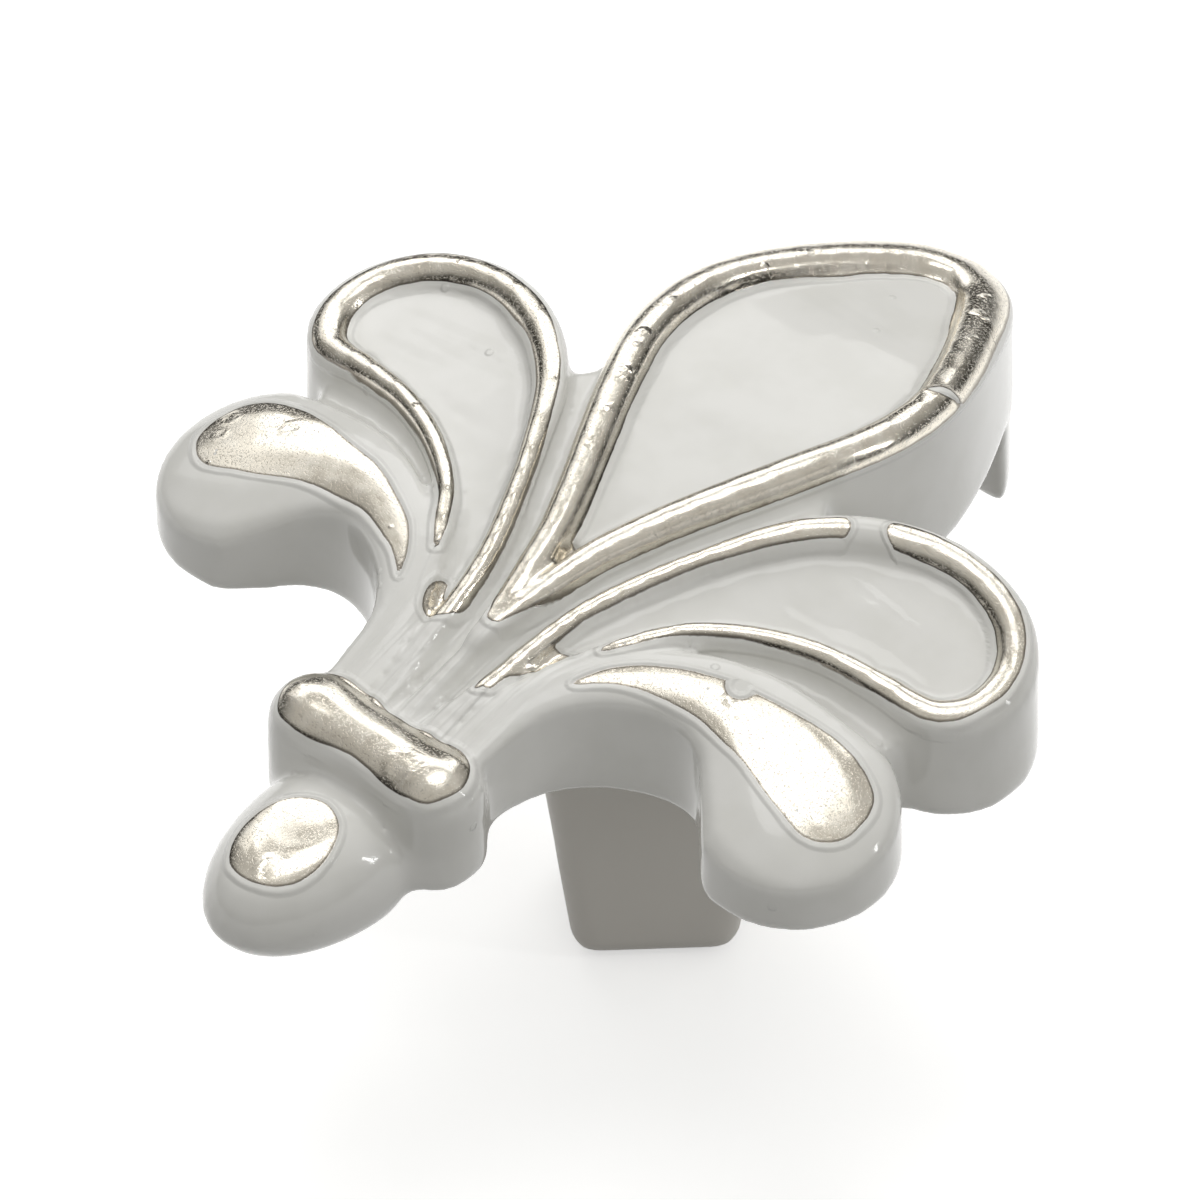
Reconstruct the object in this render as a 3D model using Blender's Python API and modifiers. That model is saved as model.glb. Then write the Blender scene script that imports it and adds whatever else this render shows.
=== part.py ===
# Fleur-de-lis cabinet knob: one glazed casting on a tapered square post.
# Z runs out from the cabinet along the post, Y runs to the tip of the top petal, X to the right petals.
# The origin is the centre of the post's foot, which seats on the drawer front.
# The model is drawn in millimetres and handed over in metres.
import math

import bmesh
import bpy
import numpy as np
from mathutils import Matrix

MM = 0.001

# Heights, measured from the flat back of the fleur
FACE_HEIGHT = 10.0  # crown of the domed face
CROWN_Y = 8.5  # where along the fleur the crown lies
TIP_FALL = 0.0115  # fall of the face toward the tip, per mm squared
NECK_FALL = 0.0625  # fall of the face toward the neck, per mm to the power below
NECK_FALL_POWER = 1.4
SIDE_FALL = 0.0058  # fall of the face to either side, per mm squared
WALL_DRAFT = 0.12  # how far a wall leans out at the back

# Top petal: the rim's centre line as x, y and share of the rim's half width, tip first
TOP_RIM_RADIUS = 1.08
TOP_RECESS = 1.35  # depth of the floor under the top of the rim
TOP_RIM = [
    (0.0, 25.45, 1.25),
    (1.95, 24.65, 1.25),
    (3.8, 22.1, 1.2),
    (5.7, 18.45, 1.08),
    (6.8, 15.3, 0.98),
    (7.0, 12.4, 1.0),
    (6.5, 9.5, 1.0),
    (5.4, 6.5, 1.0),
    (4.0, 3.4, 0.95),
    (2.6, 0.4, 0.88),
    (1.4, -2.5, 0.8),
]
# The two rims run on side by side and close to a point on the neck
STEM = [(2.5, 0.2, 0.7), (1.35, -2.7, 0.78), (0.8, -5.0, 0.7), (0.4, -7.2, 0.52), (0.05, -10.1, 0.4)]

# Upper side petal: centre line of its open rim, from the neck round the end and back to the neck
SIDE_RIM_RADIUS = 0.66
SIDE_RECESS = 1.3
SIDE_DROP = 0.35  # how far this petal sits under the top petal
SIDE_RIM = [
    (1.5, -15.9, 1.0),
    (1.75, -13.1, 0.9),
    (2.2, -10.7, 0.8),
    (2.5, -8.3, 0.8),
    (3.1, -5.5, 0.86),
    (4.2, -2.7, 0.86),
    (5.7, 0.4, 0.88),
    (8.0, 4.3, 1.3),
    (11.1, 6.95, 1.5),
    (14.8, 8.3, 1.5),
    (18.4, 7.75, 1.5),
    (20.65, 5.6, 1.5),
    (21.0, 2.9, 1.5),
    (19.5, 0.9, 1.3),
    (16.6, 0.4, 1.0),
    (13.4, -0.25, 0.84),
    (10.3, -1.6, 0.8),
    (7.6, -3.6, 0.76),
    (5.6, -6.3, 0.78),
]

# Lower side petal: spine of a comma-shaped dome, from the neck to its round end
COMMA_DROP = 0.2
COMMA_ROUND = 0.5  # height of the dome's section over its half width
COMMA = [
    (3.9, -15.8, 1.0),
    (4.0, -13.4, 1.05),
    (4.4, -10.8, 1.15),
    (5.8, -8.5, 1.3),
    (7.9, -6.65, 1.6),
    (10.4, -5.35, 2.15),
    (13.0, -5.05, 3.0),
    (15.4, -5.6, 4.1),
    (17.35, -6.3, 5.0),
]

# Webs that close the valleys between the petals, and the flute between the rims on the neck
INNER_WEB_DEPTH = 1.85  # under the face
INNER_WEB = [
    (0.0, 10.0),
    (5.75, 8.2),
    (7.35, 7.2),
    (9.0, 4.6),
    (6.75, 1.6),
    (4.5, -2.6),
    (3.4, -5.5),
    (2.6, -8.3),
    (3.9, -11.1),
    (3.7, -17.0),
]
OUTER_WEB_DEPTH = 1.5
OUTER_WEB_FALL = 0.09  # further depth per mm toward the side
OUTER_WEB = [
    (3.6, -11.5),
    (4.3, -8.4),
    (7.4, -3.25),
    (10.15, -1.3),
    (13.3, 0.1),
    (16.5, 0.75),
    (19.35, 0.4),
    (18.6, -0.6),
    (18.3, -1.8),
    (18.6, -3.1),
    (15.4, -5.5),
    (10.4, -5.5),
    (7.6, -7.5),
    (5.4, -9.7),
]
FLUTE_RADIUS = 0.6
FLUTE_DROP = 0.42  # under the face
MIDDLE_FLUTE = [(0.0, -8.2, 0.7), (0.0, -15.4, 1.0)]
OUTER_FLUTE = [
    (6.2, -5.4, 0.6),
    (5.55, -6.37, 0.7),
    (4.2, -8.9, 0.9),
    (3.3, -12.2, 1.0),
    (3.1, -15.4, 1.0),
]

# Band round the neck
BAND_Y = -16.7
BAND_TOP = 5.3
BAND_BOTTOM = -1.2  # under the flat back
BAND_HALF_LENGTH = 3.8  # to the centres of its round ends
BAND_END_RADIUS = 2.4
BAND_WAIST_RADIUS = 2.2
BAND_ROUND = 0.8

# Bud under the band
BUD_SEAT = 1.3  # how far the bud reaches into the band
BUD_HALF_WIDTH = 4.4
BUD_BACK_LENGTH = 2.4  # from its widest place back into the band
BUD_FRONT_LENGTH = 7.6  # from its widest place to its end
BUD_TOP = 2.8
BUD_WAIST = -0.7  # height of the bud's widest level
BUD_SHOULDER = 0.75  # under 1, the shoulder is fuller than an ellipse
BUD_HEEL = 0.45
BUD_BOTTOM = -3.2  # the bud hangs below the flat back

# Toe: the tip of the top petal curls down behind the face
TOE_DEPTH = 5.8
TOE_BACK_Y = 22.6
TOE_TAPER = 0.12  # share by which its lower end is smaller
TOE_KICK = 0.3  # how far its lower end leans out past the tip
TOE_ROUND = 0.8
TOE_SEAT = 3.0  # how far it reaches into the petal

# Post and its tapped screw hole
POST_Y = 2.8  # where along the fleur the post's axis stands
POST_HEIGHT = 20.2
POST_FOOT_WIDTH = 8.0
POST_SPREAD = 0.25  # how much wider the post grows per mm of height
POST_CORNER = 1.2
SCREW_HOLE_DIAMETER = 3.5
SCREW_HOLE_DEPTH = 11.0
POST_SEAT = 3.0  # how far the post's top reaches into the fleur

# Mesh fineness
LINE_STEP = 0.88  # spacing of the samples along a rim
TUBE_STEPS = 4
SLICE = 2.6  # spacing of the cuts that let the floors follow the dome
LEVEL = 0.98  # a face whose normal rises more than this is a floor
CAP_STEPS = 10
CAP_GAP = 0.06  # radians left open at a dome's end, which its cap closes
FOOT_DEPTH = 1.0  # how far the joined pieces reach under the back before it is cut flat
FOOT_STEP = 0.05
ROUND_STEPS = 4
WELD = 1e-4

for old in list(bpy.data.objects):
    bpy.data.objects.remove(old, do_unlink=True)
PARTS = bpy.data.collections.new("fleur_knob")
TOOLS = bpy.data.collections.new("fleur_knob_cutters")
for made in (PARTS, TOOLS):
    bpy.context.scene.collection.children.link(made)
TOOLS.hide_render = True


# Smooth line through named points

def smooth_line(points, step=LINE_STEP):
    pts = np.array(points, float)
    ends = np.vstack([2 * pts[0] - pts[1], pts, 2 * pts[-1] - pts[-2]])
    line = []
    for i in range(1, len(ends) - 2):
        a, b, c, d = ends[i - 1 : i + 3]
        count = max(2, math.ceil(np.linalg.norm(c[:2] - b[:2]) / step))
        for t in np.linspace(0, 1, count, endpoint=False):
            square, cube = 2 * a - 5 * b + 4 * c - d, 3 * b - a - 3 * c + d
            line.append(0.5 * (2 * b + (c - a) * t + square * t**2 + cube * t**3))
    line.append(pts[-1])
    return np.array(line)


def normals(line, closed=False):
    run = np.roll(line, -1, 0) - np.roll(line, 1, 0) if closed else np.gradient(line, axis=0)
    run = run[:, :2] / np.linalg.norm(run[:, :2], axis=1)[:, None]
    return np.stack([run[:, 1], -run[:, 0]], 1)


def round_end(line):
    # Carries a tube on over a quarter circle, so it ends in a dome
    end, run = line[-1], line[-1, :2] - line[-2, :2]
    ahead = run / np.linalg.norm(run)
    turn = np.linspace(0, math.pi / 2, CAP_STEPS + 1)[1:]
    turn[-1] -= CAP_GAP
    cap = [(*(end[:2] + ahead * end[2] * math.sin(t)), end[2] * math.cos(t)) for t in turn]
    return np.vstack([line, cap])


# Meshes from curves

def take_mesh(obj, shape=None):
    bpy.context.view_layer.update()
    graph = bpy.context.evaluated_depsgraph_get()
    mesh = bpy.data.meshes.new_from_object(obj.evaluated_get(graph))
    mesh.transform(obj.matrix_world)
    name = obj.name
    bpy.data.objects.remove(obj, do_unlink=True)
    if shape:
        shape(mesh)
    bm = bmesh.new()
    bm.from_mesh(mesh)
    bmesh.ops.remove_doubles(bm, verts=bm.verts, dist=WELD)
    bmesh.ops.recalc_face_normals(bm, faces=bm.faces)
    bmesh.ops.triangulate(bm, faces=[f for f in bm.faces if len(f.verts) == 4])
    bm.to_mesh(mesh)
    bm.free()
    made = bpy.data.objects.new(name + "_solid", mesh)
    TOOLS.objects.link(made)
    return made


def poly_curve(name, line, closed, dimensions):
    data = bpy.data.curves.new(name, "CURVE")
    data.dimensions = dimensions
    spline = data.splines.new("POLY")
    spline.points.add(len(line) - 1)
    for point, (x, y, r) in zip(spline.points, line):
        point.co = (x, y, 0, 1)
        point.radius = r
    spline.use_cyclic_u = closed
    obj = bpy.data.objects.new(name, data)
    TOOLS.objects.link(obj)
    return obj


feet = []


def next_foot():
    # Each piece reaches a little deeper than the last, and the back is cut flat once all are joined
    feet.append(-FOOT_DEPTH - FOOT_STEP * len(feet))
    return feet[-1]


def ridge(name, line, top, squash=1.0, level=None, foot=None):
    # A swept bead with a round crest at one height and walls down to the back.
    # level: the half widths that set the middle's height, where a dome's end is to fall away
    curve = poly_curve(name, line, False, "3D")
    curve.data.bevel_depth = 1.0
    curve.data.bevel_resolution = TUBE_STEPS
    curve.data.twist_mode = "Z_UP"
    curve.data.use_fill_caps = True
    foot = next_foot() if foot is None else foot
    sides = normals(line)
    middles = top - squash * (line[:, 2] if level is None else level)

    def shape(mesh):
        for v in mesh.vertices:
            # the sample whose round section this vertex lies on
            gap = np.array(v.co) - np.column_stack([line[:, :2], np.zeros(len(line))])
            along = np.abs((gap[:, :2] * sides[:, ::-1] * (-1, 1)).sum(1))
            near = np.argmin(np.abs(np.linalg.norm(gap, axis=1) - line[:, 2]) + along)
            half = line[near, 2]
            away = gap[near, :2]
            if v.co.z > -0.01 * half:
                v.co.z = middles[near] + v.co.z * squash
            else:
                # the lower half of the section closes to two corners at the foot
                across = sides[near] if away @ sides[near] > -1e-3 else -sides[near]
                v.co = (*(line[near, :2] + across * (half + WALL_DRAFT)), foot)

    return take_mesh(curve, shape)


def slab(name, outline, top, low=None):
    # A filled outline between two levels
    low = next_foot() if low is None else low
    curve = poly_curve(name, np.column_stack([outline, np.ones(len(outline))]), True, "2D")
    curve.data.fill_mode = "BOTH"
    curve.data.extrude = (top - low) / 2
    curve.location.z = (low + top) / 2
    return take_mesh(curve)


def rounded(solid, width):
    rounding = solid.modifiers.new("rounding", "BEVEL")
    rounding.width = width
    rounding.segments = ROUND_STEPS
    rounding.limit_method = "ANGLE"
    rounding.angle_limit = math.radians(60)
    return take_mesh(solid)


def join(base, tool, operation="UNION"):
    mod = base.modifiers.new(tool.name, "BOOLEAN")
    mod.object = tool
    mod.operation = operation
    mod.solver = "EXACT"
    bpy.context.view_layer.update()
    graph = bpy.context.evaluated_depsgraph_get()
    mesh = bpy.data.meshes.new_from_object(base.evaluated_get(graph))
    base.modifiers.clear()
    base.data = mesh
    bpy.data.objects.remove(tool, do_unlink=True)


def cut_away(bm, side):
    # Removes what lies on one side of a plane through the origin
    everything = [*bm.verts, *bm.edges, *bm.faces]
    place = dict(plane_co=(0, 0, 0), plane_no=side)
    return bmesh.ops.bisect_plane(bm, geom=everything, dist=WELD, clear_outer=True, **place)


def sized(points, radius):
    # A smooth line with its shares turned into half widths
    return smooth_line(points) * np.array([1, 1, radius])


# Top petal
half_rim = sized(TOP_RIM, TOP_RIM_RADIUS)
rim = np.vstack([half_rim[:0:-1] * np.array([-1, 1, 1]), half_rim])
body = slab("top_floor", rim[:, :2], FACE_HEIGHT - TOP_RECESS)
pieces = [ridge("top_rim", rim, FACE_HEIGHT)]

# Webs in the middle
web = np.array(INNER_WEB)
web = np.vstack([web, web[:0:-1] * np.array([-1, 1])])
pieces.append(slab("inner_web", web, FACE_HEIGHT - INNER_WEB_DEPTH))

# Right side petals, stem and flutes; the left half is mirrored from the right at the end
pieces.append(ridge("stem", sized(STEM, TOP_RIM_RADIUS), FACE_HEIGHT))
side_rim = sized(SIDE_RIM, SIDE_RIM_RADIUS)
side_top = FACE_HEIGHT - SIDE_DROP
pieces.append(slab("side_floor", side_rim[1:-1, :2], side_top - SIDE_RECESS))
pieces.append(ridge("side_rim", side_rim, side_top))
web = slab("outer_web", np.array(OUTER_WEB), FACE_HEIGHT - OUTER_WEB_DEPTH)
for v in web.data.vertices:
    if v.co.z > 0:
        v.co.z -= OUTER_WEB_FALL * v.co.x
pieces.append(web)
comma = round_end(sized(COMMA, 1.0))
comma_level = np.maximum.accumulate(comma[:, 2])
pieces.append(ridge("comma", comma, FACE_HEIGHT - COMMA_DROP, COMMA_ROUND, comma_level))
for flute in (MIDDLE_FLUTE, OUTER_FLUTE):
    pieces.append(ridge("flute", sized(flute, FLUTE_RADIUS), FACE_HEIGHT - FLUTE_DROP))
for piece in pieces:
    join(body, piece)


# Cuts across the floors, then the fall of the face from its crown

def face_fall(x, y):
    ahead, behind = max(0.0, y - CROWN_Y), max(0.0, CROWN_Y - y)
    return TIP_FALL * ahead**2 + NECK_FALL * behind**NECK_FALL_POWER + SIDE_FALL * x**2


bm = bmesh.new()
bm.from_mesh(body.data)
cut = cut_away(bm, (0, 0, -1))
rims = [e for e in cut["geom_cut"] if isinstance(e, bmesh.types.BMEdge)]
bmesh.ops.holes_fill(bm, edges=rims)
low, high = np.min([v.co for v in bm.verts], 0), np.max([v.co for v in bm.verts], 0)
for axis in (0, 1):
    count = math.ceil((high[axis] - low[axis]) / SLICE)
    across = np.eye(3)[axis]
    for place in np.linspace(low[axis], high[axis], count + 1)[1:-1]:
        faces = [f for f in bm.faces if f.normal.z > LEVEL and f.calc_area() > SLICE**2 / 2]
        around = {e for f in faces for e in f.edges}
        corners = {v for f in faces for v in f.verts}
        floors = [*faces, *around, *corners]
        bmesh.ops.bisect_plane(bm, geom=floors, dist=WELD, plane_co=across * place, plane_no=across)
bmesh.ops.triangulate(bm, faces=bm.faces, ngon_method="BEAUTY")
for v in bm.verts:
    v.co.z *= 1 - face_fall(v.co.x, v.co.y) / FACE_HEIGHT
bm.to_mesh(body.data)
bm.free()

# Band
half = BAND_HALF_LENGTH
waist = [(x, BAND_Y, BAND_WAIST_RADIUS) for x in (0, half / 2)]
waist = round_end(smooth_line([*waist, (half, BAND_Y, BAND_END_RADIUS)]))
band = np.vstack([waist[:0:-1] * np.array([-1, 1, 1]), waist])
band_level = np.full(len(band), BAND_END_RADIUS)
join(body, ridge("band", band, BAND_TOP, BAND_ROUND, band_level, BAND_BOTTOM))

# Bud
bud_y = BAND_Y - BAND_WAIST_RADIUS + BUD_SEAT - BUD_BACK_LENGTH
bpy.ops.mesh.primitive_uv_sphere_add(segments=8 * TUBE_STEPS, ring_count=4 * TUBE_STEPS, radius=1)


def bud_shape(mesh):
    for v in mesh.vertices:
        reach = math.hypot(v.co.x, v.co.y)
        swell = reach ** (BUD_SHOULDER if v.co.z > 0 else BUD_HEEL) / max(reach, 1e-6)
        height = BUD_TOP - BUD_WAIST if v.co.z > 0 else BUD_WAIST - BUD_BOTTOM
        length = BUD_BACK_LENGTH if v.co.y > 0 else BUD_FRONT_LENGTH
        v.co.x *= swell * BUD_HALF_WIDTH
        v.co.y = bud_y + v.co.y * swell * length
        v.co.z = BUD_WAIST + v.co.z * height


join(body, take_mesh(bpy.context.object, bud_shape))

# Toe, on the same outline as the top petal
outer = rim[:, :2] - normals(rim) * rim[:, 2][:, None]
toe = slab("toe", outer[outer[:, 1] > TOE_BACK_Y], TOE_SEAT, -TOE_DEPTH)
tip = outer[:, 1].max()
for v in toe.data.vertices:
    if v.co.z < 0:
        v.co.x *= 1 - TOE_TAPER
        v.co.y = tip + TOE_KICK - (tip - v.co.y) * (1 - TOE_TAPER)
join(body, rounded(toe, TOE_ROUND))

# Post and screw hole
spread = POST_SPREAD * (POST_HEIGHT + POST_SEAT)
bpy.ops.mesh.primitive_cone_add(
    vertices=4,
    radius1=POST_FOOT_WIDTH / math.sqrt(2),
    radius2=(POST_FOOT_WIDTH + spread) / math.sqrt(2),
    depth=POST_HEIGHT + POST_SEAT,
    location=(0, POST_Y, (POST_SEAT - POST_HEIGHT) / 2),
)
post = bpy.context.object
post.name = "post"
join(body, rounded(post, POST_CORNER))
bpy.ops.mesh.primitive_cylinder_add(
    vertices=32,
    radius=SCREW_HOLE_DIAMETER / 2,
    depth=2 * SCREW_HOLE_DEPTH,
    location=(0, POST_Y, -POST_HEIGHT),
)
join(body, take_mesh(bpy.context.object), "DIFFERENCE")

# Left half
bm = bmesh.new()
bm.from_mesh(body.data)
cut_away(bm, (-1, 0, 0))
bm.to_mesh(body.data)
bm.free()
mirror = body.modifiers.new("left", "MIRROR")
mirror.merge_threshold = WELD
body = take_mesh(body)

# Finish
material = bpy.data.materials.new("glazed_white")
material.use_nodes = True
shader = material.node_tree.nodes["Principled BSDF"]
shader.inputs["Base Color"].default_value = (0.80, 0.79, 0.76, 1)
shader.inputs["Roughness"].default_value = 0.15
body.data.materials.clear()
body.data.materials.append(material)
body.data.transform(Matrix.Scale(MM, 4) @ Matrix.Translation((0, -POST_Y, POST_HEIGHT)))
bm = bmesh.new()
bm.from_mesh(body.data)
bmesh.ops.remove_doubles(bm, verts=bm.verts, dist=WELD * MM)
bmesh.ops.triangulate(bm, faces=bm.faces)
bm.to_mesh(body.data)
bm.free()
body.name = "knob_body"
TOOLS.objects.unlink(body)
PARTS.objects.link(body)
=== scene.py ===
# Dresses the fleur-de-lis knob: one glazed casting with silver laid on its raised parts.
import math

import bmesh
import bpy
import numpy as np
from mathutils import Matrix, Vector


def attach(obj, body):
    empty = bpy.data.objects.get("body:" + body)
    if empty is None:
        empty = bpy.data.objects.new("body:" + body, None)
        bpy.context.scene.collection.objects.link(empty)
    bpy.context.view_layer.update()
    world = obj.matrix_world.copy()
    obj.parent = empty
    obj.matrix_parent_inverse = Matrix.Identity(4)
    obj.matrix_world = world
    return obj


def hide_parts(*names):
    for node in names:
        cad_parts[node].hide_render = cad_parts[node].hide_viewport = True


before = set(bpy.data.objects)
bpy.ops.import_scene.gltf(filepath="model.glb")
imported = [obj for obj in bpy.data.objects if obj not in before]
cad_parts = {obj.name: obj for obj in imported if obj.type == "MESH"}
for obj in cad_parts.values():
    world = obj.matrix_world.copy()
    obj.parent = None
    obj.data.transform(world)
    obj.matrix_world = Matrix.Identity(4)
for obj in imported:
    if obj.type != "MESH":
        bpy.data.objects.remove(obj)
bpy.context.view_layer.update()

# Lengths are in millimetres, apart from the lamps' sizes and places.
MM = 0.001
# the fleur's own frame: its flat back is at height 0 and its middle line at x 0
FLEUR_AT = np.array([0.0, -2.8, 20.2])

# Shape values shared with the part
POST_AT = (0.0, 2.8)
FACE_HEIGHT = 10.0
CROWN_Y = 8.5
FALL_AHEAD = 0.0115
FALL_BEHIND = 0.0625
FALL_BEHIND_POWER = 1.4
FALL_ACROSS = 0.0058
TOP_RIM_RADIUS = 1.08
SIDE_RIM_RADIUS = 0.66

# Middle lines of the rims on the right, as x, y and the silver's share of the rim's radius
TOP_RIM = [
    (0.0, 25.2, 1.2),
    (1.9, 24.4, 1.2),
    (3.75, 21.95, 1.15),
    (5.65, 18.4, 1.06),
    (6.8, 15.3, 1.0),
    (7.0, 12.4, 1.02),
    (6.5, 9.5, 1.02),
    (5.4, 6.5, 1.02),
    (4.0, 3.4, 0.97),
    (2.6, 0.4, 0.92),
    (1.4, -2.5, 0.9),
    (0.7, -5.0, 0.8),
    (0.3, -7.2, 0.5),
    (0.1, -8.4, 0.3),
]
SIDE_RIM = [
    (2.2, -11.2, 0.45),
    (2.5, -8.3, 0.75),
    (3.1, -5.5, 0.74),
    (4.2, -2.7, 0.72),
    (5.7, 0.4, 0.7),
    (8.05, 4.15, 0.76),
    (11.1, 6.75, 0.86),
    (14.8, 7.95, 0.98),
    (18.15, 7.45, 1.04),
    (20.3, 5.4, 1.04),
    (20.65, 2.95, 1.04),
    (19.4, 1.0, 1.02),
    (16.6, 0.42, 0.88),
    (13.4, -0.25, 0.76),
    (10.3, -1.6, 0.66),
    (7.6, -3.6, 0.54),
    (6.2, -5.4, 0.36),
    (5.4, -6.7, 0.1),
]
TOP_SILVER_WIDTH = 1.04
TOP_SILVER_DEPTH = 0.98
RIGHT_SILVER_WIDTH = 1.04
LEFT_SILVER_WIDTH = 1.16
SIDE_SILVER_DEPTH = 0.35
SIDE_SILVER_DEPTH_SHARE = 0.62

# Silver patches, as x and y: on the lower petal, the band and the bud
PETAL_PATCH = [
    (5.6, -9.1),
    (6.5, -7.4),
    (8.4, -5.8),
    (10.7, -4.7),
    (13.0, -4.1),
    (15.7, -3.5),
    (18.2, -3.3),
    (20.1, -3.9),
    (20.9, -5.3),
    (20.8, -7.0),
    (19.4, -8.1),
    (17.1, -7.8),
    (14.5, -7.1),
    (12.1, -6.8),
    (10.4, -6.85),
    (8.7, -7.3),
    (7.1, -8.0),
]
PETAL_PATCH_LOWEST = 2.6
BAND_PATCH = [
    (0.0, -15.1),
    (2.6, -14.85),
    (4.5, -15.1),
    (5.55, -16.6),
    (5.0, -18.2),
    (3.6, -18.7),
    (0.0, -18.45),
]
BAND_PATCH_LOWEST = 3.6
BUD_PATCH = [(0.0, -20.3), (1.5, -21.0), (2.25, -22.6), (2.1, -24.3), (1.3, -25.5), (0.0, -25.9)]
BUD_PATCH_LOWEST = 0.8
# the bud's top is pressed in a little under its silver
BUD_DISH = (0.0, -23.1)
BUD_DISH_SIZE = (2.4, 2.9)
BUD_DISH_DEPTH = 0.15
BUD_DISH_LOWEST = 0.5
# a bite out of the right lower petal's silver
NOTCH = (12.0, -4.25)
NOTCH_RADIUS = 0.8
# silver fills the point where the top rims meet
STEM_PATCH = [(0.0, -2.6), (1.3, -2.5), (1.5, -3.6), (1.3, -5.0), (0.85, -6.9), (0.3, -8.4), (0.0, -8.8)]

# Strokes of the brush, as x, y and radius
# the right side petal's silver starts wide, as a fork
FORK = [
    (1.9, -11.7, 0.1),
    (2.15, -10.5, 0.4),
    (2.6, -9.2, 0.66),
    (3.1, -8.4, 0.62),
    (3.8, -7.8, 0.34),
    (4.3, -7.5, 0.12),
]
# the left one ends higher up the neck, in a hook
LEFT_END_Y = -8.4
HOOK = [
    (-2.75, -7.2, 0.5),
    (-2.5, -8.3, 0.62),
    (-2.65, -9.05, 0.66),
    (-3.15, -9.15, 0.62),
    (-3.65, -8.6, 0.42),
    (-3.85, -7.8, 0.2),
]
# a lens of bare glaze lies across the top rim
GLAZE_LENS = [(6.45, 15.4, 0.12), (6.8, 15.7, 0.26), (7.15, 16.0, 0.26), (7.5, 16.3, 0.12)]
# the strokes reach this far down from the face
STROKE_DEPTH = 2.2

# The right upper rim is bare around this place, and the silver's two ends there are rounded
RIM_GAP = (10.8, 6.2)
# the rim's direction there, and half the bare length along it
RIM_GAP_ALONG = (0.755, 0.656)
RIM_GAP_HALF = 0.85
RIM_GAP_ROUNDING = 0.9
# other parts of the rim are further away than this
RIM_GAP_REACH = 2.0

# Marks left in the silver: rings and drops as x, y and radius, and a crescent on the bud
RINGS = [
    (2.5, -17.6, 0.75),
    (-20.3, -5.2, 0.36),
    (-19.9, -6.3, 0.3),
    (-16.8, -4.6, 0.42),
    (12.2, -5.0, 0.3),
]
DROPS = [
    (2.6, 23.8, 0.20),
    (3.4, 22.3, 0.26),
    (4.1, 22.2, 0.16),
    (4.9, 20.3, 0.20),
    (-5.0, 19.3, 0.18),
    (-6.7, 11.6, 0.16),
    (-6.0, 8.9, 0.26),
    (-5.6, 8.0, 0.15),
    (-4.9, 6.4, 0.24),
    (-4.6, 5.9, 0.14),
    (-3.9, 4.0, 0.18),
    (-3.0, 1.6, 0.15),
]
RING_HEIGHT = 0.018
RING_HEIGHT_SHARE = 0.02
RING_WIDTH = 0.08
RING_WIDTH_SHARE = 0.12
DROP_HEIGHT_SHARE = 0.35
BUD_CRESCENT = (0.9, -24.9)
CRESCENT_RADIUS = 0.8
CRESCENT_WIDTH = 0.18
CRESCENT_HEIGHT = 0.045
LENS_BEAD_WIDTH = 0.12
LENS_BEAD_HEIGHT = 0.08

# The neck's outer edge on the right; the glaze drained down between both edges
NECK_EDGE = [(16.0, -3.0), (9.0, -4.8), (6.6, -6.6), (5.2, -9.2), (4.9, -11.0), (4.8, -16.5)]
STREAKS_FROM_Y = -4.5
STREAKS_TO_Y = -15.6
STREAKS_DEPTH = 2.4

# The post alone isn't glazed, within this distance of its middle
POST_REACH = 10.0
POST_BLEND = 2.0

VOXEL = 0.25
FLOW_ROUNDS = 5
WALL_ROUNDS = 24
# the walls' rounding starts this far under the face, and ends at this height on the post
WALL_START = 1.7
WALL_END_HEIGHT = -14.0

# Colours
SILVER_DULL = (0.72, 0.675, 0.585, 1)
SILVER_CLEAR = (0.79, 0.75, 0.665, 1)
SILVER_PITTED = (0.56, 0.50, 0.42, 1)
# painted reflection: the near-black of the dark room mirrored along the silver's edge
SILVER_EDGE_PAINTED_REFLECTION = (0.085, 0.07, 0.055, 1)
GLAZE_LIGHT = (0.78, 0.775, 0.745, 1)
GLAZE_WARM = (0.74, 0.735, 0.70, 1)
POST_COLOUR = (0.86, 0.83, 0.775, 1)
WHITE = (1, 1, 1, 1)
FLOOR_SEEN = (0.90, 0.90, 0.895)
FLOOR_OTHERWISE = (0.36, 0.36, 0.355, 1)
ROOM_LOW = (0.085, 0.083, 0.079, 1)
ROOM_HIGH = (0.66, 0.655, 0.64, 1)
MIRRORED_LOW = (0.025, 0.024, 0.022, 1)
MIRRORED_HIGH = (0.58, 0.57, 0.55, 1)

# Lamps as name, place, size and watts, in metres; all face the middle of the knob
LAMPS = [
    ("overhead", (-0.25, 0.29, 0.37), (0.46, 0.25), 0.64),
    ("crown", (-0.05, 0.045, 0.50), (0.20, 0.20), 0.30),
    ("left", (-0.45, 0.13, 0.31), (0.20, 0.24), 0.145),
    ("side", (0.50, -0.10, 0.22), (0.25, 0.30), 0.10),
    ("strip", (0.40, 0.20, 0.30), (0.02, 0.16), 0.22),
]
LAMPS_FACE = (0, 0, 0.024)

# The camera, solved from the photograph's outlines: its turn and rise in radians, and its distance
CAMERA_TURN = 0.833627
CAMERA_RISE = 0.750492
CAMERA_AWAY = 885.5
CAMERA_LENS = 553.4
CAMERA_SENSOR = 36
CAMERA_SHIFT = (-0.0115, 0.0237)


# Lines, distances and blends

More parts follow.
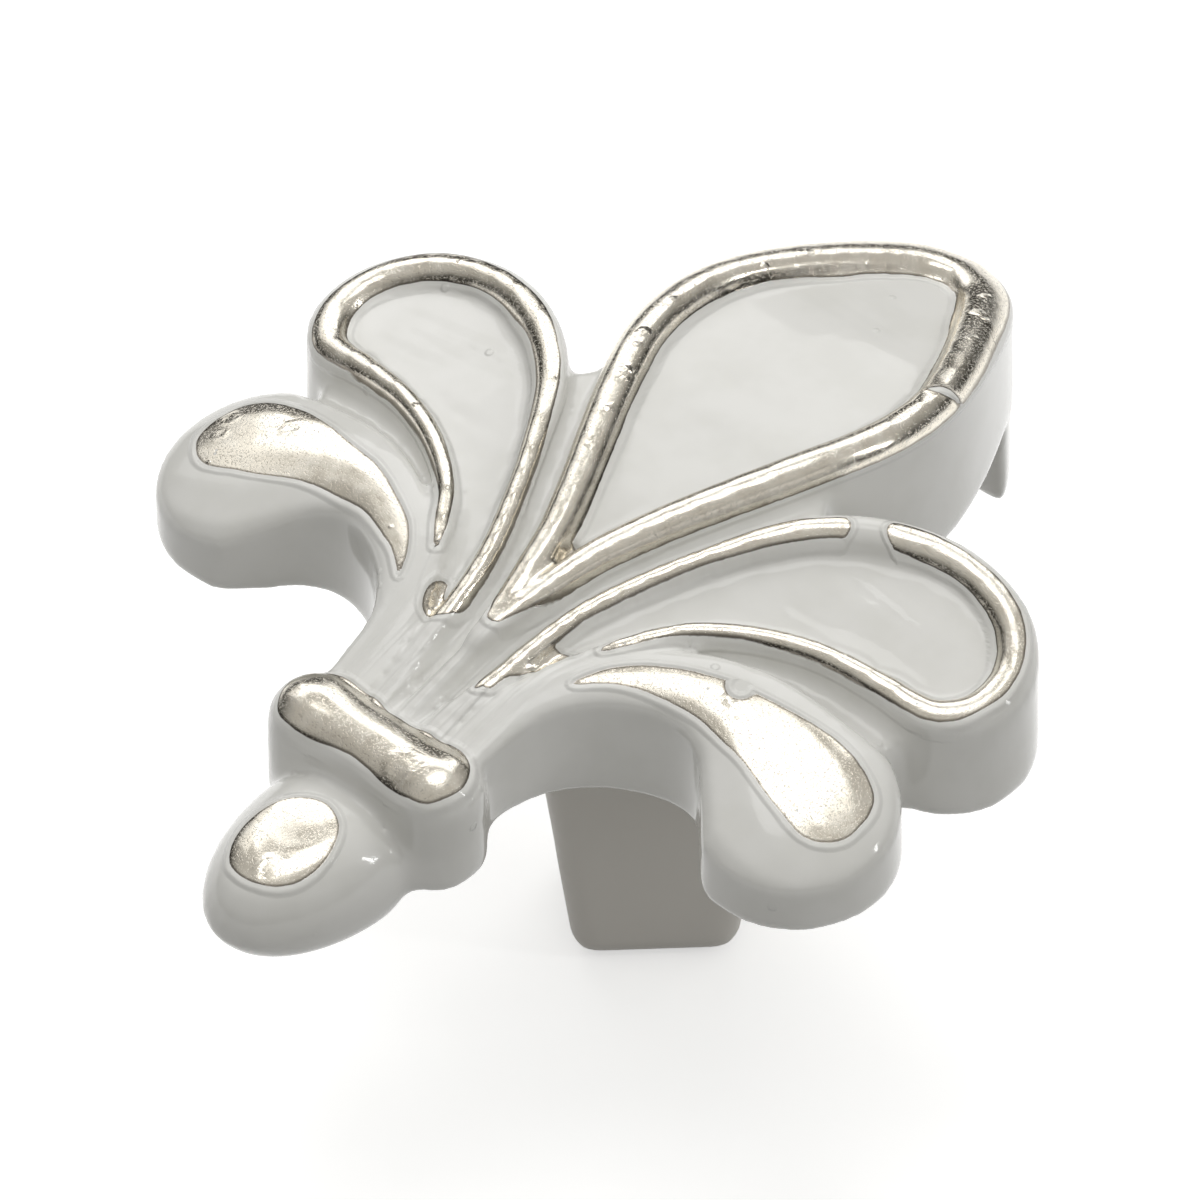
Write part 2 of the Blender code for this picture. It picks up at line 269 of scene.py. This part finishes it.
def smooth_line(points, step=0.4, closed=False):
    pts = np.array(points, float)
    if closed:
        ends = np.vstack([pts[-1], pts, pts[0], pts[1]])
    else:
        ends = np.vstack([2 * pts[0] - pts[1], pts, 2 * pts[-1] - pts[-2]])
    line = []
    for i in range(1, len(ends) - 2):
        a, b, c, d = ends[i - 1 : i + 3]
        count = max(2, math.ceil(np.linalg.norm(c[:2] - b[:2]) / step))
        for t in np.linspace(0, 1, count, endpoint=False):
            square, cube = 2 * a - 5 * b + 4 * c - d, 3 * b - a - 3 * c + d
            line.append(0.5 * (2 * b + (c - a) * t + square * t**2 + cube * t**3))
    if not closed:
        line.append(pts[-1])
    return np.array(line)


def to_line(xy, line):
    """Distance from each point to a line, and the line's third value there."""
    best = np.full(len(xy), 1e9)
    value = np.zeros(len(xy))
    for a, b in zip(line[:-1], line[1:]):
        run = b[:2] - a[:2]
        t = np.clip(((xy - a[:2]) @ run) / (run @ run), 0, 1)
        gap = np.linalg.norm(xy - a[:2] - t[:, None] * run, axis=1)
        near = gap < best
        best[near] = gap[near]
        value[near] = (a[2] + (b[2] - a[2]) * t)[near]
    return best, value


def inside_by(xy, outline):
    """How far each point lies inside a closed outline; negative outside."""
    shut = np.vstack([outline, outline[:1]])
    gap, _ = to_line(xy, np.column_stack([shut, np.zeros(len(shut))]))
    inside = np.zeros(len(xy), bool)
    for (ax, ay), (bx, by) in zip(shut[:-1], shut[1:]):
        if ay == by:
            continue
        crosses = (ay > xy[:, 1]) != (by > xy[:, 1])
        inside ^= crosses & (xy[:, 0] < (bx - ax) * (xy[:, 1] - ay) / (by - ay) + ax)
    return np.where(inside, gap, -gap)


def both_sides(points):
    """A closed outline from its right half, whose first and last points are on the middle line."""
    return points + [(-px, py) for px, py in points[-2:0:-1]]


def patch(points, xy, above):
    """How far each point lies inside a patch of silver, and above its lower end."""
    outline = smooth_line([(*p, 0) for p in points], closed=True)[:, :2]
    return np.minimum(inside_by(xy, outline), above)


def stroke(points, xy, above):
    """How far each point lies inside one stroke of the brush, and above its lower end."""
    gap, reach = to_line(xy, smooth_line(points, 0.15))
    return np.minimum(reach - gap, above)


def rise(value, start, length):
    """0 up to the start, and 1 from a length past it."""
    return np.clip((value - start) / length, 0, 1)


def bell(distance, width):
    return np.exp(-((distance / width) ** 2))


def face_fall(x, y):
    ahead, behind = np.maximum(0, y - CROWN_Y), np.maximum(0, CROWN_Y - y)
    return FALL_AHEAD * ahead**2 + FALL_BEHIND * behind**FALL_BEHIND_POWER + FALL_ACROSS * x**2


# The casting, remeshed finely so that its edges run into each other as glaze does

def glazed_copy(source):
    mesh = source.data.copy()
    piece = bpy.data.objects.new("knob_glaze", mesh)
    bpy.context.scene.collection.objects.link(piece)
    piece.matrix_world = source.matrix_world.copy()
    mesh.materials.clear()
    bm = bmesh.new()
    bm.from_mesh(mesh)
    bmesh.ops.remove_doubles(bm, verts=bm.verts, dist=1e-6)
    bm.to_mesh(mesh)
    bm.free()
    remesh = piece.modifiers.new("fine", "REMESH")
    remesh.mode = "VOXEL"
    remesh.voxel_size = VOXEL * MM
    smooth = piece.modifiers.new("flow", "SMOOTH")
    smooth.factor = 0.5
    smooth.iterations = FLOW_ROUNDS
    bpy.context.view_layer.update()
    graph = bpy.context.evaluated_depsgraph_get()
    fine = bpy.data.meshes.new_from_object(piece.evaluated_get(graph))
    piece.modifiers.clear()
    piece.data = fine
    return piece


def soften_walls(mesh, co):
    """Rounds the walls and their lower edges more than the face."""
    pairs = np.empty(len(mesh.edges) * 2, int)
    mesh.edges.foreach_get("vertices", pairs)
    ends = np.concatenate([pairs[::2], pairs[1::2]])
    others = np.concatenate([pairs[1::2], pairs[::2]])
    neighbours = np.bincount(ends)
    under = FACE_HEIGHT - face_fall(co[:, 0], co[:, 1]) - co[:, 2]
    wall = rise(under, WALL_START, 0.8) * rise(co[:, 2], WALL_END_HEIGHT, 2.0)
    for _ in range(WALL_ROUNDS):
        sums = [np.bincount(ends, co[others, axis]) for axis in range(3)]
        around = np.stack(sums, 1) / neighbours[:, None]
        co += 0.5 * wall[:, None] * (around - co)


knob = glazed_copy(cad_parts["knob_body"])
mesh = knob.data
for face in mesh.polygons:
    face.use_smooth = True

co = np.empty(len(mesh.vertices) * 3)
mesh.vertices.foreach_get("co", co)
co = co.reshape(-1, 3) / MM - FLEUR_AT
soften_walls(mesh, co)
dish_x = (co[:, 0] - BUD_DISH[0]) / BUD_DISH_SIZE[0]
dish_y = (co[:, 1] - BUD_DISH[1]) / BUD_DISH_SIZE[1]
dish = np.clip(1 - (dish_x**2 + dish_y**2), 0, 1) ** 2
co[:, 2] -= BUD_DISH_DEPTH * dish * rise(co[:, 2], BUD_DISH_LOWEST, 1.0)
mesh.vertices.foreach_set("co", ((co + FLEUR_AT) * MM).ravel())
mesh.update()
normal = np.empty(len(mesh.vertices) * 3)
mesh.vertices.foreach_get("normal", normal)
normal = normal.reshape(-1, 3)

x, y, z = co.T
plan = co[:, :2]
half = np.column_stack([np.abs(x), y])
crest = FACE_HEIGHT - face_fall(x, y)
above_stroke = z - (crest - STROKE_DEPTH)

# Silver: how far each point lies inside the silver
top_gap, top_share = to_line(half, smooth_line(TOP_RIM))
top_width = top_share * TOP_RIM_RADIUS * TOP_SILVER_WIDTH
top_silver = np.minimum(top_width - top_gap, z - (crest - TOP_SILVER_DEPTH))
top_silver = np.maximum(top_silver, patch(both_sides(STEM_PATCH), plan, above_stroke))
glaze_lens = stroke(GLAZE_LENS, plan, above_stroke)
top_silver = np.minimum(top_silver, -glaze_lens)

side_gap, side_share = to_line(half, smooth_line(SIDE_RIM))
side_width = side_share * SIDE_RIM_RADIUS * np.where(x > 0, RIGHT_SILVER_WIDTH, LEFT_SILVER_WIDTH)
side_depth = SIDE_SILVER_DEPTH + SIDE_SILVER_DEPTH_SHARE * np.maximum(side_share, 1)
side_silver = np.minimum(side_width - side_gap, z - (crest - side_depth))
along = (x - RIM_GAP[0]) * RIM_GAP_ALONG[0] + (y - RIM_GAP[1]) * RIM_GAP_ALONG[1]
past_gap = np.abs(along) - RIM_GAP_HALF - RIM_GAP_ROUNDING * side_gap**2
elsewhere = np.hypot(x - RIM_GAP[0], y - RIM_GAP[1]) - RIM_GAP_REACH
side_silver = np.minimum(side_silver, np.maximum(past_gap, elsewhere))
side_silver = np.where(x < 0, np.minimum(side_silver, y - LEFT_END_Y), side_silver)
fork = stroke(FORK, plan, above_stroke)
hook = stroke(HOOK, plan, above_stroke)

petal_silver = patch(PETAL_PATCH, half, z - PETAL_PATCH_LOWEST)
petal_silver = np.minimum(petal_silver, np.hypot(x - NOTCH[0], y - NOTCH[1]) - NOTCH_RADIUS)
band_silver = patch(both_sides(BAND_PATCH), plan, z - BAND_PATCH_LOWEST)
bud_silver = patch(both_sides(BUD_PATCH), plan, z - BUD_PATCH_LOWEST)
silver = np.max([top_silver, side_silver, fork, hook, petal_silver, band_silver, bud_silver], axis=0)

# Marks: the height of the rings, the crescent, the lens's bead and the drops
marks = np.zeros(len(x))
for px, py, radius in RINGS:
    ring = np.hypot(x - px, y - py)
    ring_height = RING_HEIGHT + RING_HEIGHT_SHARE * radius
    marks += ring_height * bell(ring - radius, RING_WIDTH + RING_WIDTH_SHARE * radius)
crescent = np.hypot(x - BUD_CRESCENT[0], y - BUD_CRESCENT[1])
# the crescent is a ring that fades out toward the right
facing = rise(BUD_CRESCENT[0] - x, -0.36, 1.2)
marks += CRESCENT_HEIGHT * facing * bell(crescent - CRESCENT_RADIUS, CRESCENT_WIDTH)
marks += LENS_BEAD_HEIGHT * bell(np.clip(glaze_lens, -1, 0), LENS_BEAD_WIDTH)
for px, py, radius in DROPS:
    marks += DROP_HEIGHT_SHARE * radius * bell((x - px) ** 2 + (y - py) ** 2, radius**2)

# Streaks run down the neck between its edges, where the glaze has drained
edge_line = np.array(NECK_EDGE)
across = x / np.interp(-y, -edge_line[:, 1], edge_line[:, 0])
streaky = rise(STREAKS_FROM_Y - y, 0, 3.0) * rise(y, STREAKS_TO_Y, 0.8)
streaky *= rise(z - crest, -STREAKS_DEPTH, 0.6)
streaky *= rise(1.02 - np.abs(across), 0, 0.15)

near_post = rise(POST_REACH - np.hypot(x - POST_AT[0], y - POST_AT[1]), 0, POST_BLEND)
attributes = {
    "silver": np.clip(silver, -3, 3),
    "post": np.clip(-z / 2.0, -1, 1) * near_post,
    "marks": marks,
    "across": across,
    "streaky": streaky,
    # small on the walls, where the silver's edge has to run straight
    "level": np.clip(normal[:, 2] * 1.6 - 0.3, 0.08, 1),
}
for name, values in attributes.items():
    layer = mesh.attributes.new(name, "FLOAT", "POINT")
    layer.data.foreach_set("value", values.astype(np.float32))
place = mesh.attributes.new("place", "FLOAT_VECTOR", "POINT")
place.data.foreach_set("vector", co.astype(np.float32).ravel())


# Material

class Nodes:
    """Short names for building a node tree."""

    def __init__(self, tree):
        self.tree = tree

    def join(self, node, key, value):
        if isinstance(value, bpy.types.NodeSocket):
            self.tree.links.new(value, node.inputs[key])
        else:
            node.inputs[key].default_value = value

    def put(self, kind, inputs=(), **settings):
        node = self.tree.nodes.new(kind)
        for key, value in settings.items():
            setattr(node, key, value)
        for key, value in dict(inputs).items():
            self.join(node, key, value)
        return node

    def attribute(self, name):
        return self.put("ShaderNodeAttribute", attribute_name=name).outputs["Fac"]

    def math(self, operation, a, b=0.0, c=0.0, clamp=False):
        node = self.put("ShaderNodeMath", {0: a, 1: b, 2: c}, operation=operation, use_clamp=clamp)
        return node.outputs[0]

    def add(self, *values):
        total = values[0]
        for value in values[1:]:
            total = self.math("ADD", total, value)
        return total

    def times(self, a, b):
        return self.math("MULTIPLY", a, b)

    def noise(self, vector, scale, detail=3.0, roughness=0.5, distortion=0.0):
        inputs = {
            "Vector": vector,
            "Scale": scale,
            "Detail": detail,
            "Roughness": roughness,
            "Distortion": distortion,
        }
        return self.put("ShaderNodeTexNoise", inputs).outputs["Fac"]

    def swing(self, noise, reach):
        """A noise about 0 instead of 0.5, with this reach to either side."""
        return self.math("MULTIPLY_ADD", noise, 2 * reach, -reach)

    def cells(self, vector, scale):
        return self.put("ShaderNodeTexVoronoi", {"Vector": vector, "Scale": scale}).outputs["Distance"]

    def ramp(self, value, low, high, out_low=0.0, out_high=1.0):
        inputs = {0: value, 1: low, 2: high, 3: out_low, 4: out_high}
        return self.put("ShaderNodeMapRange", inputs, interpolation_type="SMOOTHSTEP").outputs[0]

    def mix(self, share, a, b):
        return self.put("ShaderNodeMix", {0: share, 6: a, 7: b}, data_type="RGBA").outputs[2]

    def blend(self, share, a, b):
        return self.put("ShaderNodeMix", {0: share, 2: a, 3: b}, data_type="FLOAT").outputs[0]


def glaze_material():
    material = bpy.data.materials.new("glazed_white")
    material.use_nodes = True
    tree = material.node_tree
    tree.nodes.clear()
    n = Nodes(tree)
    at = n.put("ShaderNodeAttribute", attribute_name="place").outputs["Vector"]
    # the silver's edge wavers gently, as laid with a brush
    waver = n.swing(n.noise(at, 0.28, 1.0, 0.4), 0.18)
    fine = n.swing(n.noise(at, 1.6, 1.0, 0.5), 0.025)
    edge = n.add(n.attribute("silver"), n.times(n.add(waver, fine), n.attribute("level")))
    # specks of glaze left bare in the silver
    specks = n.ramp(n.cells(at, 1.5), 0.10, 0.14, 1.0, 0.0)
    thin = n.ramp(n.noise(at, 0.6, 3.0, 0.6), 0.60, 0.66)
    metal = n.math("SUBTRACT", n.ramp(edge, -0.02, 0.02), n.times(specks, thin), clamp=True)

    mottle = n.noise(at, 0.8, 4.0, 0.55, 0.3)
    speckle = n.noise(at, 9.0, 2.0, 0.65)
    bright = n.mix(n.ramp(mottle, 0.35, 0.68), SILVER_DULL, SILVER_CLEAR)
    bright = n.mix(n.ramp(speckle, 0.58, 0.66, 0.0, 0.30), bright, SILVER_PITTED)
    # painted reflection: the silver darkens in a fine line along its edge, standing in for the dark room
    # mirrored there
    bright = n.mix(n.ramp(edge, 0.02, 0.15, 0.8, 0.0), bright, SILVER_EDGE_PAINTED_REFLECTION)
    white = n.mix(n.ramp(n.noise(at, 0.3, 3.0, 0.5), 0.35, 0.7), GLAZE_LIGHT, GLAZE_WARM)
    post = n.ramp(n.attribute("post"), 0.35, 0.8)
    white = n.mix(post, white, POST_COLOUR)

    silver_rough = n.ramp(n.add(mottle, n.times(speckle, 0.5)), 0.5, 0.95, 0.14, 0.25)
    white_rough = n.blend(post, n.ramp(speckle, 0.3, 0.7, 0.10, 0.16), 0.42)

    # heights in millimetres
    drops = n.times(n.ramp(n.cells(at, 0.75), 0.08, 0.20, 1.0, 0.0), thin)
    pits = n.ramp(speckle, 0.54, 0.68, 0.0, -0.006)
    silver_height = n.add(n.times(mottle, 0.008), n.times(drops, 0.05), pits, n.attribute("marks"))
    # a few small bubbles stand in the glaze
    bubbles = n.ramp(n.cells(at, 0.42), 0.05, 0.12, 0.06, 0.0)
    sparse = n.ramp(n.noise(at, 0.17, 1.0, 0.5), 0.58, 0.62)
    white_height = n.add(n.times(waver, 0.03), n.times(bubbles, sparse), n.times(speckle, 0.0004))
    # long strands run down the neck
    run = n.times(n.put("ShaderNodeSeparateXYZ", {0: at}).outputs[1], 0.03)
    strand = n.put("ShaderNodeCombineXYZ", {0: n.times(n.attribute("across"), 9.0), 1: run}).outputs[0]
    streaks = n.ramp(n.noise(strand, 1.0, 1.0, 0.4), 0.35, 0.70, 0.0, 0.08)
    white_height = n.add(white_height, n.times(streaks, n.attribute("streaky")))
    # a thin bead of glaze stands along the silver's edge
    bead = n.ramp(n.math("ABSOLUTE", n.add(edge, 0.20)), 0.0, 0.24, 0.075, 0.0)
    height = n.add(n.blend(metal, white_height, silver_height), bead)
    bump = n.put("ShaderNodeBump", {"Strength": 1.0, "Distance": MM, "Height": height})

    glazed = n.math("SUBTRACT", 1.0, metal)
    coat = n.math("MULTIPLY", glazed, n.math("SUBTRACT", 0.4, post), clamp=True)
    inputs = {
        "Base Color": n.mix(metal, white, bright),
        "Metallic": metal,
        "Roughness": n.blend(metal, white_rough, silver_rough),
        "Normal": bump.outputs[0],
        "Coat Weight": coat,
        "Coat Roughness": 0.04,
        "Specular IOR Level": 0.2,
        "IOR": 1.5,
    }
    shader = n.put("ShaderNodeBsdfPrincipled", inputs)
    n.put("ShaderNodeOutputMaterial", {0: shader.outputs[0]})
    return material


mesh.materials.clear()
mesh.materials.append(glaze_material())
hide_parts("knob_body")
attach(knob, "root")


# Floor, backdrop and light

def seen_directly(n):
    """1 for camera, mirror and see-through rays, which show the white backdrop."""
    rays = n.put("ShaderNodeLightPath").outputs
    direct = n.math("MAXIMUM", rays["Is Camera Ray"], rays["Is Glossy Ray"])
    return n.math("MAXIMUM", direct, rays["Is Transmission Ray"])


def floor_material():
    material = bpy.data.materials.new("floor_white")
    material.use_nodes = True
    n = Nodes(material.node_tree)
    grain = n.noise(n.put("ShaderNodeTexCoord").outputs["Object"], 40.0)
    tone = n.mix(grain, (*[c * 0.985 for c in FLOOR_SEEN], 1), (*FLOOR_SEEN, 1))
    direct = seen_directly(n)
    shader = material.node_tree.nodes["Principled BSDF"]
    n.join(shader, "Base Color", n.mix(direct, FLOOR_OTHERWISE, tone))
    n.join(shader, "Roughness", 0.7)
    n.join(shader, "Emission Color", WHITE)
    n.join(shader, "Emission Strength", n.times(direct, 0.5))
    return material


def studio_world():
    world = bpy.data.worlds.new("studio")
    world.use_nodes = True
    world.node_tree.nodes.clear()
    n = Nodes(world.node_tree)
    where = n.put("ShaderNodeTexCoord").outputs["Generated"]
    up = n.put("ShaderNodeSeparateXYZ", {0: where}).outputs[2]
    # a grey room, light overhead and darker toward the horizon
    room = n.mix(n.ramp(up, 0.12, 0.70), ROOM_LOW, ROOM_HIGH)
    # mirror rays meet the white backdrop along the horizon, and the camera sees white behind the
    # knob from every side
    camera_ray = n.put("ShaderNodeLightPath").outputs["Is Camera Ray"]
    over_horizon = n.ramp(n.math("SUBTRACT", up, camera_ray), 0.03, 0.07)
    backdrop = n.mix(over_horizon, WHITE, n.mix(n.ramp(up, 0.15, 0.85), MIRRORED_LOW, MIRRORED_HIGH))
    around = n.put("ShaderNodeBackground", {"Color": room, "Strength": 1.0}).outputs[0]
    direct = n.put("ShaderNodeBackground", {"Color": backdrop, "Strength": 1.0}).outputs[0]
    pick = n.put("ShaderNodeMixShader", {0: seen_directly(n), 1: around, 2: direct})
    n.put("ShaderNodeOutputWorld", {0: pick.outputs[0]})
    return world


def softbox(name, at, size, power):
    data = bpy.data.lights.new(name, "AREA")
    data.shape = "RECTANGLE"
    data.size, data.size_y = size
    data.energy = power
    obj = bpy.data.objects.new(name, data)
    bpy.context.scene.collection.objects.link(obj)
    away = Vector(at) - Vector(LAMPS_FACE)
    obj.matrix_world = Matrix.Translation(at) @ away.to_track_quat("Z", "Y").to_matrix().to_4x4()


bpy.ops.mesh.primitive_plane_add(size=6.0)
floor = bpy.context.object
floor.name = "floor"
floor.data.materials.append(floor_material())
bpy.context.scene.world = studio_world()
for lamp in LAMPS:
    softbox(*lamp)

# Camera
ground = math.cos(CAMERA_RISE)
toward = Vector((math.cos(CAMERA_TURN) * ground, -math.sin(CAMERA_TURN) * ground, math.sin(CAMERA_RISE)))
right = Vector((math.sin(CAMERA_TURN), math.cos(CAMERA_TURN), 0))
turn = Matrix((right, toward.cross(right), toward)).transposed().to_4x4()
camera = bpy.data.objects.new("camera", bpy.data.cameras.new("camera"))
bpy.context.scene.collection.objects.link(camera)
camera.matrix_world = Matrix.Translation((toward * CAMERA_AWAY + Vector(FLEUR_AT)) * MM) @ turn
camera.data.sensor_width = CAMERA_SENSOR
camera.data.lens = CAMERA_LENS
camera.data.shift_x, camera.data.shift_y = CAMERA_SHIFT
camera.data.clip_end = 20
bpy.context.scene.camera = camera
bpy.context.scene.view_settings.view_transform = "Standard"
